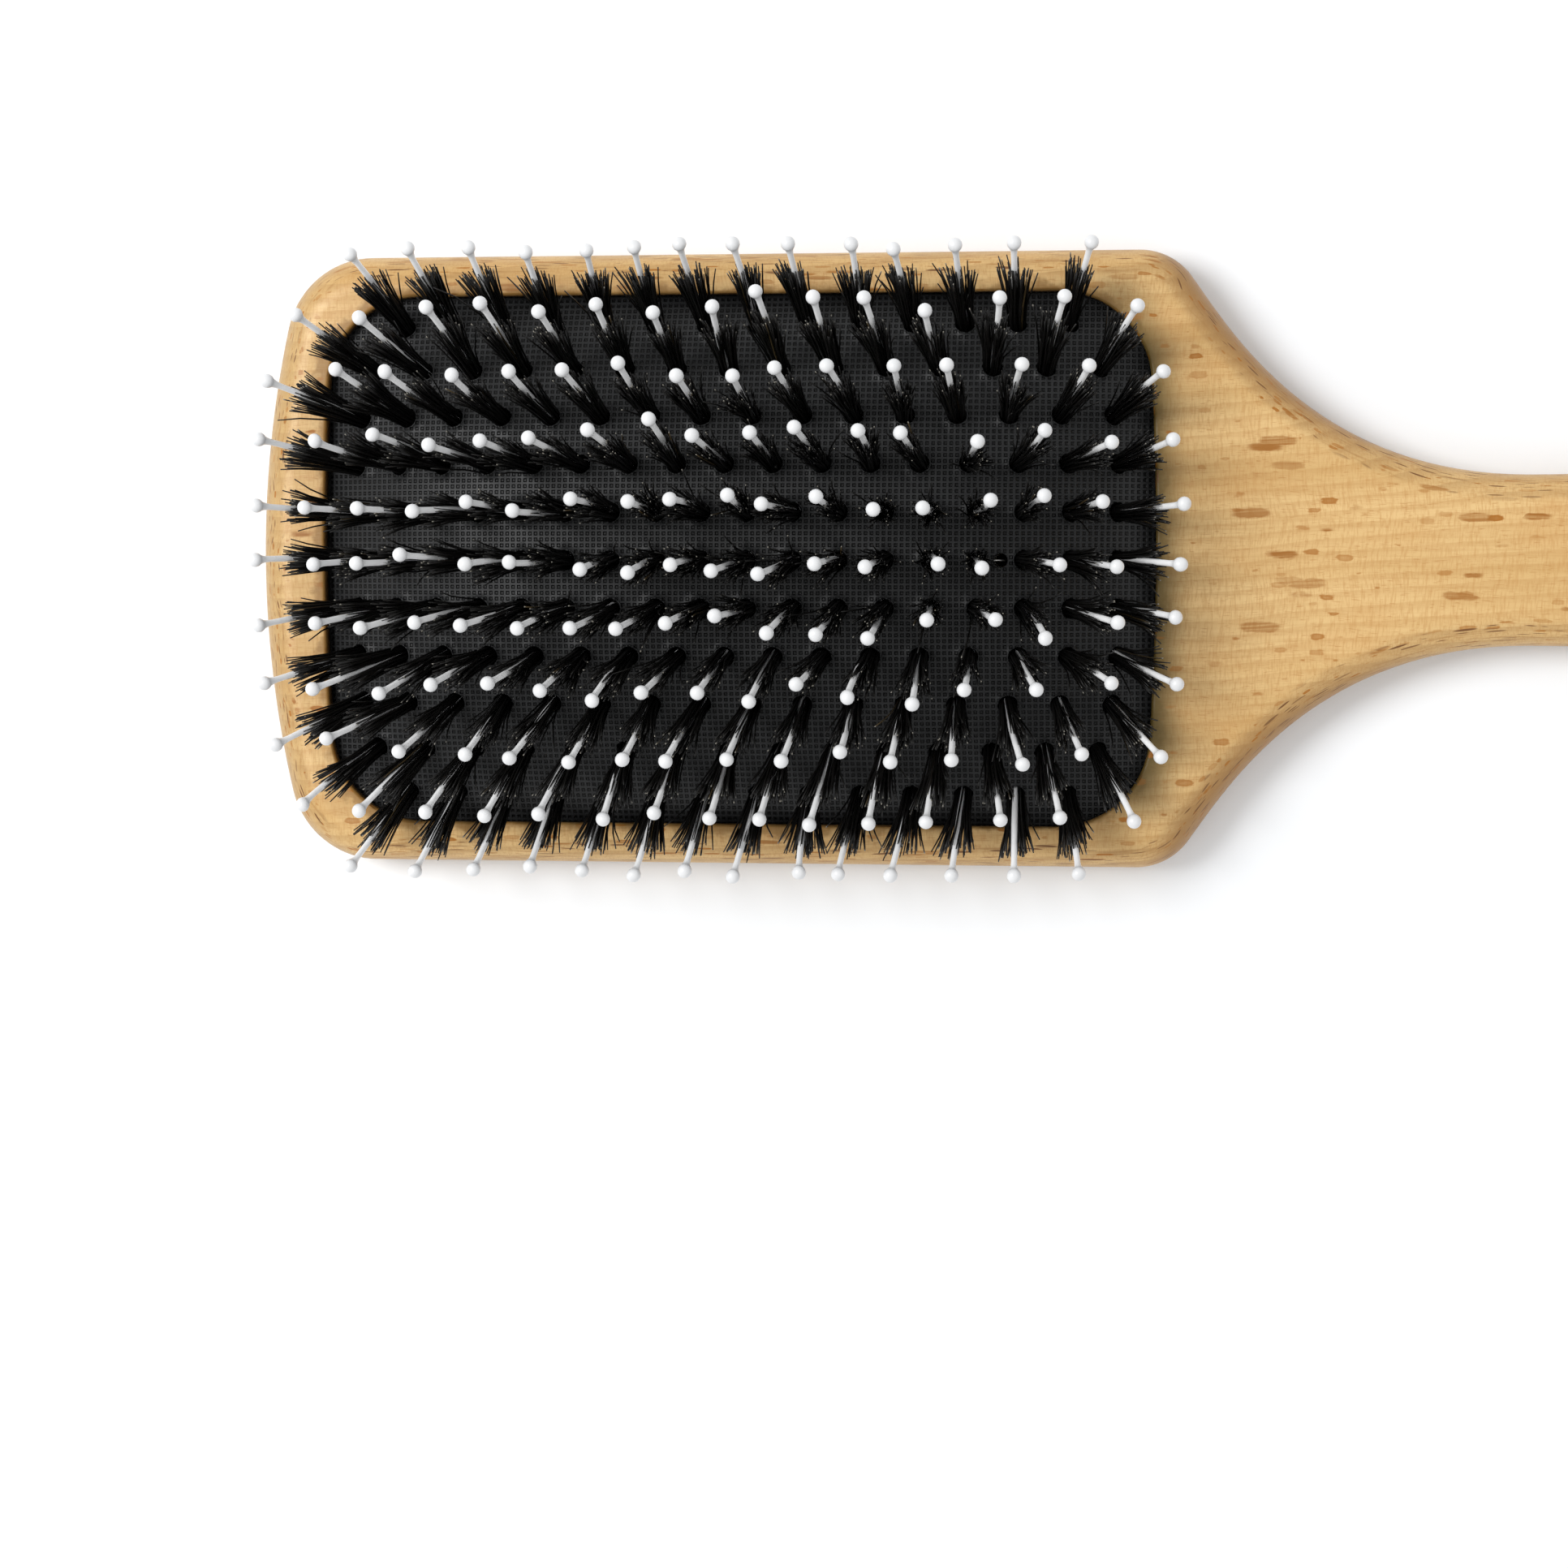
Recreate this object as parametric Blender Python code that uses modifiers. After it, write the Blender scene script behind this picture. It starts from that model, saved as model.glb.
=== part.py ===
"""Cushioned paddle hairbrush with bristle tufts and ball-tipped pins, in metres.

The brush lies on its flat back with the pad up. X runs from the head to the handle, Y across the
head and Z up. The origin is on the floor, under the middle of the brush's length.
"""
import math

import bmesh
import bpy
from mathutils import Matrix, Vector

# Paddle: one piece of wood, head at -X and handle at +X
LENGTH = 0.2484
HEAD_HALF_WIDTH = 0.0410
WOOD_THICKNESS = 0.0102
EDGE_ROUND = 0.0047
HEAD_END = 0.0654            # from the pad's centre back to the end of the head
HEAD_END_BOW = 0.1420        # radius of the gently bowed end
HEAD_CORNER = 0.0121
SHOULDER_START = 0.0535      # from the pad's centre, where the straight sides end
SHOULDER_RADIUS = 0.0085
SHOULDER_SWEEP = math.radians(54)
SHOULDER_HANDLE = 0.0080     # length of the curve's handle where the sweep leaves the shoulder
NECK_PLACE = 0.1045          # from the pad's centre to the narrowest section
NECK_HALF_WIDTH = 0.0112
NECK_HANDLES = (0.0280, 0.0180)
SWELL_PLACE = 0.1520
SWELL_HALF_WIDTH = 0.0134
SWELL_HANDLE = 0.0200
END_POWER = 2.6              # superellipse power of the handle's rounded end
HANDLE_LIFT = 0.0012         # how far the handle's back stands off the floor
LIFT_START = 0.0600
LIFT_END = 0.0860

# Recess in the head, with an undercut groove for the pad's edge
RECESS_END = 0.0560
RECESS_END_BOW = 0.4000
RECESS_HALF_WIDTH = 0.03535
RECESS_CORNER = 0.0125
RECESS_FLOOR = 0.0032
GROOVE_DEPTH = 0.0014
GROOVE_LOW = 0.0066
GROOVE_HIGH = 0.0086

# Domed rubber pad
PAD_EDGE_HEIGHT = 0.0082     # top of the rubber where it meets the wood
DOME_RISE = 0.0125
DOME_HALF_LENGTH = 0.0555
DOME_HALF_WIDTH = 0.0353
DOME_POWER_X = 3.5
DOME_POWER_Y = 2.2
CORNER_DROP = 0.0014         # how much lower the dome is towards its corners
CORNER_POWER = 4
DOME_BORDER = 0.0020
DOME_CELLS = (10, 8)
PAD_THICKNESS = 0.0010
BEAD_LOW = 0.0069
BEAD_HIGH = 0.0083
BEAD_OUTSIDE = 0.0011
BEAD_INSIDE = 0.0014
PAD_TRIM = 0.00035           # the dome's sheet stops this far short of the recess's wall
VENT_PLACE = 0.0360
VENT_RADIUS = 0.00095

# Rows of tufts and pins, numbered from the -Y side
ROW_PLACES = (0.0, 0.0063, 0.0126, 0.0189, 0.0251, 0.0310)
ROW_HALF_SPANS = (0.0510, 0.0510, 0.0510, 0.0503, 0.0485, 0.0445)
OUTER_ROW = 5
MIDDLE_ROW_COUNT = 18
LEAN_ACROSS = 0.672          # slope of the outermost row
LEAN_ACROSS_POWER = 1.2
LEAN_ALONG = 0.64            # slope of the tufts at the rows' ends
LEAN_ALONG_POWER = 2.5
LEAN_ALONG_REACH = 0.0510
TUFT_OFFSET = 0.0008
TUFT_ROOT_RADIUS = 0.0011
TUFT_TIP_RADIUS = 0.0022
TUFT_LENGTH = 0.0125
TUFT_SIDES = 4
PIN_OFFSET = 0.0008
PIN_RADIUS = 0.00042
PIN_BALL_RADIUS = 0.00088
PIN_LENGTH = 0.0170          # rubber to the ball's centre
PIN_NECK = 0.0016            # from the ball's centre down to where it meets the shaft
PIN_SIDES = 4
HOLE_ROOM = 0.00035
HOLE_DEPTH = 0.0060
PIVOT_SHARE = 0.6            # where along its half span a row's hinge line meets the dome

# Strips that join a row behind the rubber, and the backing sheet under them
FOOT_DROP = 0.00225          # from the rubber's top face down to a foot inside its strip
FOOT_SINK = 0.0004
FOOT_RADIUS = 0.00035
STRIP_HEIGHT = 0.0008
STRIP_WIDTH = 0.0010
STRIP_CALM_SHARE = 0.45      # this much of the half span arches little and needs few bends
STRIP_CALM_STEP = 3
SHEET_DROP = 0.0042
SHEET_THICKNESS = 0.0004
SHEET_HALF_LENGTH = 0.0500
SHEET_HALF_WIDTH = 0.0312
SHEET_CORNER = 0.0120

PAD_X = HEAD_END - LENGTH / 2
MERGE = 0.00002
FLAT_ANGLE = 0.001           # faces that meet at less than this are one flat face
ABOVE = 0.0300               # height that clears the dome, for cutters

# How many straight steps stand for each curve
BOW_STEPS = 2
RECESS_CORNER_STEPS = 5
HEAD_CORNER_STEPS = 7
SHOULDER_STEPS = 5
SWEEP_STEPS = 10
GRIP_STEPS = 5
END_STEPS = 10
EDGE_STEPS = 3
VENT_SIDES = 6

parts = bpy.data.collections.new("hairbrush")
cutters = bpy.data.collections.new("cutters")


def clear_scene():
    for ob in list(bpy.data.objects):
        bpy.data.objects.remove(ob, do_unlink=True)
    bpy.context.scene.collection.children.link(parts)
    bpy.context.scene.collection.children.link(cutters)


def material(name, colour, roughness):
    mat = bpy.data.materials.new(name)
    mat.use_nodes = True
    shader = mat.node_tree.nodes["Principled BSDF"]
    shader.inputs["Base Color"].default_value = (*colour, 1.0)
    shader.inputs["Roughness"].default_value = roughness
    shader.inputs["Metallic"].default_value = 0.0
    mat.diffuse_color = (*colour, 1.0)
    return mat


def add_object(name, mesh, mat=None, parent=None):
    """An object in the model, or a cutter when it has no material."""
    ob = bpy.data.objects.new(name, mesh)
    if mat:
        parts.objects.link(ob)
        mesh.materials.clear()
        mesh.materials.append(mat)
    else:
        cutters.objects.link(ob)
        ob.hide_render = True
        ob.display_type = "WIRE"
    ob.parent = parent
    return ob


def mesh_from(bm, name):
    bmesh.ops.recalc_face_normals(bm, faces=bm.faces)
    mesh = bpy.data.meshes.new(name)
    bm.to_mesh(mesh)
    bm.free()
    return mesh


def flat_outline(name, points, thickness):
    """The mesh of a closed flat outline, thickness tall and centred on z = 0."""
    curve = bpy.data.curves.new(name, "CURVE")
    curve.dimensions = "2D"
    curve.fill_mode = "BOTH"
    curve.extrude = thickness / 2
    spline = curve.splines.new("POLY")
    spline.points.add(len(points) - 1)
    for point, (x, y) in zip(spline.points, points):
        point.co = (x, y, 0.0, 1.0)
    spline.use_cyclic_u = True
    ob = bpy.data.objects.new(name, curve)
    cutters.objects.link(ob)
    evaluated = ob.evaluated_get(bpy.context.evaluated_depsgraph_get())
    mesh = bpy.data.meshes.new_from_object(evaluated)
    bpy.data.objects.remove(ob)
    bpy.data.curves.remove(curve)
    bm = bmesh.new()
    bm.from_mesh(mesh)
    bpy.data.meshes.remove(mesh)
    bmesh.ops.remove_doubles(bm, verts=bm.verts, dist=MERGE)
    return mesh_from(bm, name)


def boolean(ob, tool, operation):
    mod = ob.modifiers.new(operation.lower(), "BOOLEAN")
    mod.operation = operation
    mod.object = tool
    mod.solver = "EXACT"


def slab(name, points, low, high):
    """A cutter with a flat outline, from one height to another."""
    mesh = flat_outline(name, points, high - low)
    ob = add_object(name, mesh)
    ob.location = (PAD_X, 0.0, (low + high) / 2)
    return ob


# Outlines, from the pad's centre


def arc(centre, radius, start, end, steps):
    """Points along an arc, with its angles in radians from +X."""
    angles = (start + (end - start) * i / steps for i in range(steps + 1))
    return [(centre[0] + radius * math.cos(a), centre[1] + radius * math.sin(a)) for a in angles]


def bowed_end(reach, bow, half_width, corner, corner_steps):
    """From the middle of an end at +X up to the straight side: a bowed arc and a rounded corner."""
    bow_centre = reach - bow
    corner_y = half_width - corner
    corner_x = bow_centre + math.sqrt((bow - corner) ** 2 - corner_y ** 2)
    meet = math.atan2(corner_y, corner_x - bow_centre)
    points = arc((bow_centre, 0.0), bow, 0.0, meet, BOW_STEPS)
    return points[:-1] + arc((corner_x, corner_y), corner, meet, math.pi / 2, corner_steps)


def both_sides(points):
    """A closed outline from the points of its +Y half."""
    mirrored = [(x, -y) for x, y in reversed(points) if y > MERGE]
    return points + mirrored


def rounded_outline(reach, bow, half_width, corner):
    quarter = bowed_end(reach, bow, half_width, corner, RECESS_CORNER_STEPS)
    half = quarter + [(-x, y) for x, y in reversed(quarter)]
    return both_sides(half)


def recess_outline(grow=0.0):
    return rounded_outline(
        RECESS_END + grow, RECESS_END_BOW + grow, RECESS_HALF_WIDTH + grow, RECESS_CORNER + grow
    )


def bezier(start, start_handle, end_handle, end, steps):
    points = []
    for i in range(1, steps + 1):
        t = i / steps
        weights = ((1 - t) ** 3, 3 * (1 - t) ** 2 * t, 3 * (1 - t) * t ** 2, t ** 3)
        corners = (start, start_handle, end_handle, end)
        points.append(tuple(sum(w * c[k] for w, c in zip(weights, corners)) for k in (0, 1)))
    return points


def paddle_outline():
    """The paddle's outline: bowed head, shoulders that sweep into the neck, and the handle."""
    quarter = bowed_end(HEAD_END, HEAD_END_BOW, HEAD_HALF_WIDTH, HEAD_CORNER, HEAD_CORNER_STEPS)
    head = [(-x, y) for x, y in quarter]
    centre = (SHOULDER_START, HEAD_HALF_WIDTH - SHOULDER_RADIUS)
    top = math.pi / 2
    shoulder = arc(centre, SHOULDER_RADIUS, top, top - SHOULDER_SWEEP, SHOULDER_STEPS)
    start = shoulder[-1]
    slope = (math.cos(SHOULDER_SWEEP), -math.sin(SHOULDER_SWEEP))
    start_handle = [start[k] + SHOULDER_HANDLE * slope[k] for k in (0, 1)]
    neck = (NECK_PLACE, NECK_HALF_WIDTH)
    neck_handles = (
        (NECK_PLACE - NECK_HANDLES[0], NECK_HALF_WIDTH), (NECK_PLACE + NECK_HANDLES[1], NECK_HALF_WIDTH)
    )
    swell = (SWELL_PLACE, SWELL_HALF_WIDTH)
    swell_handle = (SWELL_PLACE - SWELL_HANDLE, SWELL_HALF_WIDTH)
    sweep = bezier(start, start_handle, neck_handles[0], neck, SWEEP_STEPS)
    grip = bezier(neck, neck_handles[1], swell_handle, swell, GRIP_STEPS)
    tip = LENGTH - HEAD_END - SWELL_PLACE
    end = []
    for i in range(1, END_STEPS + 1):
        angle = math.pi / 2 * i / END_STEPS
        along = math.sin(angle) ** (2 / END_POWER)
        across = max(math.cos(angle), 0.0) ** (2 / END_POWER)
        end.append((SWELL_PLACE + tip * along, SWELL_HALF_WIDTH * across))
    end[-1] = (SWELL_PLACE + tip, 0.0)
    return both_sides(head + shoulder + sweep + grip + end)


# Surfaces, from the pad's centre


def dome(x, y):
    """Height of the rubber's top face above the floor."""
    out_x = min(abs(x) / DOME_HALF_LENGTH, 1.0)
    out_y = min(abs(y) / DOME_HALF_WIDTH, 1.0)
    rise = DOME_RISE * (1 - out_x ** DOME_POWER_X) * (1 - out_y ** DOME_POWER_Y)
    return PAD_EDGE_HEIGHT + max(rise - CORNER_DROP * (out_x * out_y) ** CORNER_POWER, 0.0)


def domed_sheet(name, drop, thickness, mat, parent=None):
    """A sheet a drop under the dome's face, thickened downwards, with a flat border all round.

    Its columns stand closer together towards the ends, where the dome bends most.
    """
    bm = bmesh.new()
    bmesh.ops.create_grid(bm, x_segments=DOME_CELLS[0], y_segments=DOME_CELLS[1], size=1.0)
    for vert in bm.verts:
        x = DOME_HALF_LENGTH * (1.5 * vert.co.x - 0.5 * vert.co.x ** 3)
        y = DOME_HALF_WIDTH * vert.co.y
        vert.co = (x, y, dome(x, y) - drop)
    rim = [edge for edge in bm.edges if edge.is_boundary]
    border = bmesh.ops.extrude_edge_only(bm, edges=rim)["geom"]
    for vert in (item for item in border if isinstance(item, bmesh.types.BMVert)):
        vert.co.x *= 1 + DOME_BORDER / DOME_HALF_LENGTH
        vert.co.y *= 1 + DOME_BORDER / DOME_HALF_WIDTH
    mesh = mesh_from(bm, name)
    if mesh.polygons[0].normal.z < 0:
        mesh.flip_normals()
    sheet = add_object(name, mesh, mat, parent)
    shell = sheet.modifiers.new("shell", "SOLIDIFY")
    shell.thickness = thickness
    shell.offset = -1.0
    return sheet


def lean(x, y):
    """Direction of a tuft or pin that stands at a place on the pad."""
    across = LEAN_ACROSS * (abs(y) / ROW_PLACES[-1]) ** LEAN_ACROSS_POWER
    along = LEAN_ALONG * min(abs(x) / LEAN_ALONG_REACH, 1.0) ** LEAN_ALONG_POWER
    return Vector((math.copysign(along, x), math.copysign(across, y), 1.0))


def standing(x, y):
    """Matrix that stands a shape made along +Z on the dome, along the lean there."""
    up = lean(x, y).normalized()
    side = (Vector((1, 0, 0)) - up * up.x).normalized()
    turn = Matrix((side, up.cross(side), up)).transposed().to_4x4()
    return Matrix.Translation((x, y, dome(x, y))) @ turn


# Pieces


def make_paddle(mat):
    mesh = flat_outline("beech_paddle", paddle_outline(), WOOD_THICKNESS)
    paddle = add_object("beech_paddle", mesh, mat)
    bm = bmesh.new()
    bm.from_mesh(mesh)
    bmesh.ops.dissolve_limit(bm, angle_limit=FLAT_ANGLE, verts=[], edges=bm.edges)
    rims = [e for e in bm.edges if abs(e.verts[0].co.z - e.verts[1].co.z) < MERGE]
    bmesh.ops.bevel(bm, geom=rims, offset=EDGE_ROUND, offset_type="OFFSET", segments=EDGE_STEPS,
                    profile=0.5, affect="EDGES", clamp_overlap=False)
    bmesh.ops.remove_doubles(bm, verts=bm.verts, dist=MERGE)
    for vert in bm.verts:
        share = min(max((vert.co.x - LIFT_START) / (LIFT_END - LIFT_START), 0.0), 1.0)
        share = share * share * (3 - 2 * share)
        from_top = 0.5 - vert.co.z / WOOD_THICKNESS
        vert.co.z += HANDLE_LIFT * share * from_top
    bmesh.ops.triangulate(bm, faces=[f for f in bm.faces if len(f.verts) > 4])
    bm.to_mesh(mesh)
    bm.free()
    paddle.location = (PAD_X, 0.0, WOOD_THICKNESS / 2)
    recess = slab("recess_cutter", recess_outline(), RECESS_FLOOR, ABOVE)
    boolean(paddle, recess, "DIFFERENCE")
    groove = slab("groove_cutter", recess_outline(GROOVE_DEPTH), GROOVE_LOW, GROOVE_HIGH)
    boolean(paddle, groove, "DIFFERENCE")
    return paddle


def vent_cutter():
    bm = bmesh.new()
    bmesh.ops.create_cone(bm, cap_ends=True, segments=VENT_SIDES, radius1=VENT_RADIUS,
                          radius2=VENT_RADIUS, depth=ABOVE)
    ob = add_object("vent_cutter", mesh_from(bm, "vent_cutter"))
    ob.location = (PAD_X + VENT_PLACE, 0.0, dome(VENT_PLACE, 0.0))
    return ob


def make_cushion(mat, holes, vent):
    cushion = domed_sheet("rubber_cushion", 0.0, PAD_THICKNESS, mat)
    cushion.location = (PAD_X, 0.0, 0.0)
    trim = slab("pad_trim_cutter", recess_outline(-PAD_TRIM), 0.0, ABOVE)
    boolean(cushion, trim, "INTERSECT")
    bead = slab("bead_tool", recess_outline(BEAD_OUTSIDE), BEAD_LOW, BEAD_HIGH)
    inner = slab("bead_inner_cutter", recess_outline(-BEAD_INSIDE), 0.0, ABOVE)
    boolean(bead, inner, "DIFFERENCE")
    boolean(cushion, bead, "UNION")
    boolean(cushion, holes, "DIFFERENCE")
    boolean(cushion, vent, "DIFFERENCE")
    return cushion


def make_sheet(mat, parent, vent):
    sheet = domed_sheet("backing_sheet", SHEET_DROP, SHEET_THICKNESS, mat, parent)
    sheet.location = Vector((PAD_X, 0.0, 0.0)) - parent.location
    outline = rounded_outline(SHEET_HALF_LENGTH, RECESS_END_BOW, SHEET_HALF_WIDTH, SHEET_CORNER)
    boolean(sheet, slab("sheet_trim_cutter", outline, 0.0, ABOVE), "INTERSECT")
    boolean(sheet, vent, "DIFFERENCE")
    return sheet


def turned(profile, sides):
    """A closed turned shape with a flat side towards -Y, from (radius, height) pairs."""
    bm = bmesh.new()
    verts = [bm.verts.new((r, 0.0, z)) for r, z in profile]
    edges = [bm.edges.new(pair) for pair in zip(verts, verts[1:])]
    bmesh.ops.spin(bm, geom=verts + edges, axis=(0, 0, 1), cent=(0, 0, 0),
                   angle=2 * math.pi, steps=sides)
    bmesh.ops.remove_doubles(bm, verts=bm.verts, dist=MERGE)
    turn = Matrix.Rotation(math.pi / sides - math.pi / 2, 3, "Z")
    bmesh.ops.rotate(bm, verts=bm.verts, cent=(0, 0, 0), matrix=turn)
    return bm


def pin_template():
    """A pin along +Z that leaves the rubber at z = 0."""
    profile = [
        (0.0, -FOOT_DROP), (PIN_RADIUS, -FOOT_DROP), (PIN_RADIUS, PIN_LENGTH - PIN_NECK),
        (PIN_BALL_RADIUS, PIN_LENGTH), (0.0, PIN_LENGTH + PIN_BALL_RADIUS),
    ]
    return mesh_from(turned(profile, PIN_SIDES), "pin")


def add_shape(bm, template, matrix):
    """Adds a copy of a mesh to a bmesh, placed by a matrix."""
    count = len(bm.verts)
    bm.from_mesh(template)
    bm.verts.ensure_lookup_table()
    bmesh.ops.transform(bm, matrix=matrix, verts=bm.verts[count:])


def tuft_template():
    """A tuft along +Z that leaves the rubber at z = 0 and flares, but not on its -Y side."""
    profile = [
        (0.0, -FOOT_DROP), (FOOT_RADIUS, -FOOT_DROP), (TUFT_ROOT_RADIUS, -PAD_THICKNESS),
        (TUFT_TIP_RADIUS, TUFT_LENGTH), (0.0, TUFT_LENGTH),
    ]
    bm = turned(profile, TUFT_SIDES)
    bmesh.ops.dissolve_limit(bm, angle_limit=FLAT_ANGLE, verts=bm.verts, edges=bm.edges)
    flare = (TUFT_TIP_RADIUS - TUFT_ROOT_RADIUS) * math.cos(math.pi / TUFT_SIDES)
    for vert in bm.verts:
        vert.co.y += flare * max(vert.co.z, 0.0) / TUFT_LENGTH
    return mesh_from(bm, "tuft")


def foot_line(x, y):
    """Where the feet's strip runs under a place on a row, along the row's lean."""
    return Vector((x, y, dome(x, y))) - (FOOT_DROP - FOOT_SINK) * lean(x, y).normalized()


def arched_strip(name, line, places):
    """The strip that joins a row's feet: flat between bends that fall between the tufts."""
    step = places[1] - places[0]
    bends = [places[0] - step / 2] + [x + step / 2 for x in places]
    half_span = bends[-1]
    calm = STRIP_CALM_SHARE * half_span
    bends = [x for i, x in enumerate(bends) if abs(x) > calm or i % STRIP_CALM_STEP == 0]
    upper = [foot_line(x, line) for x in bends]
    outline = [(x, z) for x, y, z in upper] + [(x, z - STRIP_HEIGHT) for x, y, z in reversed(upper)]
    mesh = flat_outline(name, outline, STRIP_WIDTH)
    middle = (upper[0].y + foot_line(0.0, line).y) / 2
    mesh.transform(Matrix.Translation((0, middle, 0)) @ Matrix.Rotation(math.pi / 2, 4, "X"))
    return mesh


def row_places(index):
    """Centre line, half span and the places along X of a row, counted from the middle one.

    Each row outside the middle three holds one place less than the row before it.
    """
    step = abs(index)
    half_span = ROW_HALF_SPANS[step]
    count = MIDDLE_ROW_COUNT - max(0, step - 1)
    places = [half_span * (2 * i / (count - 1) - 1) for i in range(count)]
    return math.copysign(ROW_PLACES[step], index), half_span, places


def make_row(index, templates, mats, core, cutter_mesh):
    """The tufts and the pins of a row on its pivot, and their holes' shapes.

    The outer rows stand where the rubber is held by the wood, so they don't sink with the core.
    """
    y, half_span, places = row_places(index)
    outward = -1.0 if index < 0 else 1.0
    label = f"{index + OUTER_ROW + 1:02d}"
    pivot = bpy.data.objects.new(f"row_{label}_pivot", None)
    parts.objects.link(pivot)
    pivot_height = dome(PIVOT_SHARE * half_span, y)
    pivot.location = (PAD_X, y, pivot_height)
    if abs(index) < OUTER_ROW:
        pivot.parent = core
        pivot.location -= core.location
    to_pivot = Matrix.Translation((0.0, -y, -pivot_height))
    pieces = (
        ("bristle_row", templates[0], mats[0], y + outward * TUFT_OFFSET),
        ("pin_row", templates[1], mats[1], y - outward * PIN_OFFSET),
    )
    face = Matrix.Rotation(0.0 if index >= 0 else math.pi, 4, "Z")
    for kind, template, mat, line in pieces:
        name = f"{kind}_{label}"
        strip = arched_strip(name, line, places)
        strip.transform(to_pivot)
        row = add_object(name, strip, mat, pivot)
        bm = bmesh.new()
        for x in places:
            add_shape(bm, template, to_pivot @ standing(x, line) @ face)
        tool = add_object(name + "_tool", mesh_from(bm, name + "_tool"), None, pivot)
        boolean(row, tool, "UNION")
    low = -outward * PIN_OFFSET - outward * (PIN_RADIUS + HOLE_ROOM)
    high = outward * TUFT_OFFSET + outward * (TUFT_ROOT_RADIUS + HOLE_ROOM)
    for x in places:
        middle = y + (low + high) / 2
        width = 2 * (TUFT_ROOT_RADIUS + HOLE_ROOM)
        size = Matrix.Diagonal((width, abs(high - low), HOLE_DEPTH, 1.0))
        bmesh.ops.create_cube(cutter_mesh, size=1.0, matrix=standing(x, middle) @ size)


def build():
    clear_scene()
    beech = material("beech", (0.70, 0.46, 0.20), 0.45)
    rubber = material("cushion_rubber", (0.012, 0.012, 0.014), 0.55)
    bristle = material("bristle", (0.006, 0.005, 0.005), 0.40)
    nylon = material("pin_nylon", (0.82, 0.82, 0.80), 0.30)
    canvas = material("backing_canvas", (0.30, 0.28, 0.24), 0.90)
    make_paddle(beech)
    core = bpy.data.objects.new("cushion_core", None)
    parts.objects.link(core)
    core.location = (PAD_X, 0.0, dome(0.0, 0.0))
    vent = vent_cutter()
    make_sheet(canvas, core, vent)
    templates = (tuft_template(), pin_template())
    holes = bmesh.new()
    for index in range(-OUTER_ROW, OUTER_ROW + 1):
        make_row(index, templates, (bristle, nylon), core, holes)
    for template in templates:
        bpy.data.meshes.remove(template)
    hole_cutter = add_object("hole_cutter", mesh_from(holes, "hole_cutter"))
    hole_cutter.location = (PAD_X, 0.0, 0.0)
    make_cushion(rubber, hole_cutter, vent)


build()
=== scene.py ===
import math

import bmesh
import bpy
import numpy as np
from mathutils import Matrix, Vector, geometry


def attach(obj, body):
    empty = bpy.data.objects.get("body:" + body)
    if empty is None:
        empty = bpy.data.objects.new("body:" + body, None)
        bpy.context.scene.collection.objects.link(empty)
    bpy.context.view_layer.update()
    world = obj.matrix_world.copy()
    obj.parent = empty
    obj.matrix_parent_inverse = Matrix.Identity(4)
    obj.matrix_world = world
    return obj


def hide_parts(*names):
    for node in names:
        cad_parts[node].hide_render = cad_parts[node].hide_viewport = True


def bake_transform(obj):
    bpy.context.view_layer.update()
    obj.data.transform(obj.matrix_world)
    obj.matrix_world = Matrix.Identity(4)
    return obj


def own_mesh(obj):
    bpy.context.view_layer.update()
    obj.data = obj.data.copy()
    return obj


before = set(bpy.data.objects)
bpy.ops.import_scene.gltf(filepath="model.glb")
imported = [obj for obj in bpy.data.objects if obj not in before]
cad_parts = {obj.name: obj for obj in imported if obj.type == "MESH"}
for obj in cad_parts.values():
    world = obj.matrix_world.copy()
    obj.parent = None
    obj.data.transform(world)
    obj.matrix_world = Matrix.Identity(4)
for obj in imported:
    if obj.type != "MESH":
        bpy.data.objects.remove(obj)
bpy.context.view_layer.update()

# Paddle, as in the CAD. Plan positions are from the pad's centre
LENGTH = 0.2484
HEAD_HALF_WIDTH = 0.0410
WOOD_THICKNESS = 0.0102
EDGE_ROUND = 0.0047
HEAD_END = 0.0654
HEAD_END_BOW = 0.1420
HEAD_CORNER = 0.0121
SHOULDER_START = 0.0535
SHOULDER_RADIUS = 0.0085
SHOULDER_SWEEP = math.radians(54)
SHOULDER_HANDLE = 0.0080
NECK_PLACE = 0.1045
NECK_HALF_WIDTH = 0.0112
NECK_HANDLES = (0.0280, 0.0180)
SWELL_PLACE = 0.1520
SWELL_HALF_WIDTH = 0.0134
SWELL_HANDLE = 0.0200
END_POWER = 2.6
HANDLE_LIFT = 0.0012
LIFT_START = 0.0600
LIFT_END = 0.0860
RECESS_END = 0.0560
RECESS_END_BOW = 0.4000
RECESS_HALF_WIDTH = 0.03535
RECESS_CORNER = 0.0125
RECESS_FLOOR = 0.0032
RECESS_LIP = 0.0005
GROOVE_DEPTH = 0.0014
GROOVE_LOW = 0.0066
GROOVE_HIGH = 0.0086
SUPPORT = 0.00015            # width of the flat strip that keeps a flat face's shading flat
LIFT_GRID = 0.003            # spacing of the underside's points where the handle lifts
LIFT_GRID_ROWS = 13          # and their rows on each side of the middle
LIFT_GRID_CLEAR = 0.001      # from the flat face's edge

# Steps along each part of the outlines, and round the edges
RECESS_CORNER_STEPS = 16
RECESS_END_STEPS = 14
RECESS_SIDE_STEPS = 40
HEAD_CORNER_STEPS = 18
HEAD_END_STEPS = 14
HEAD_SIDE_STEPS = 34
SHOULDER_STEPS = 14
NECK_STEPS = 34
GRIP_STEPS = 22
TIP_STEPS = 28
EDGE_STEPS = 9
LIP_STEPS = 6

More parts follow.
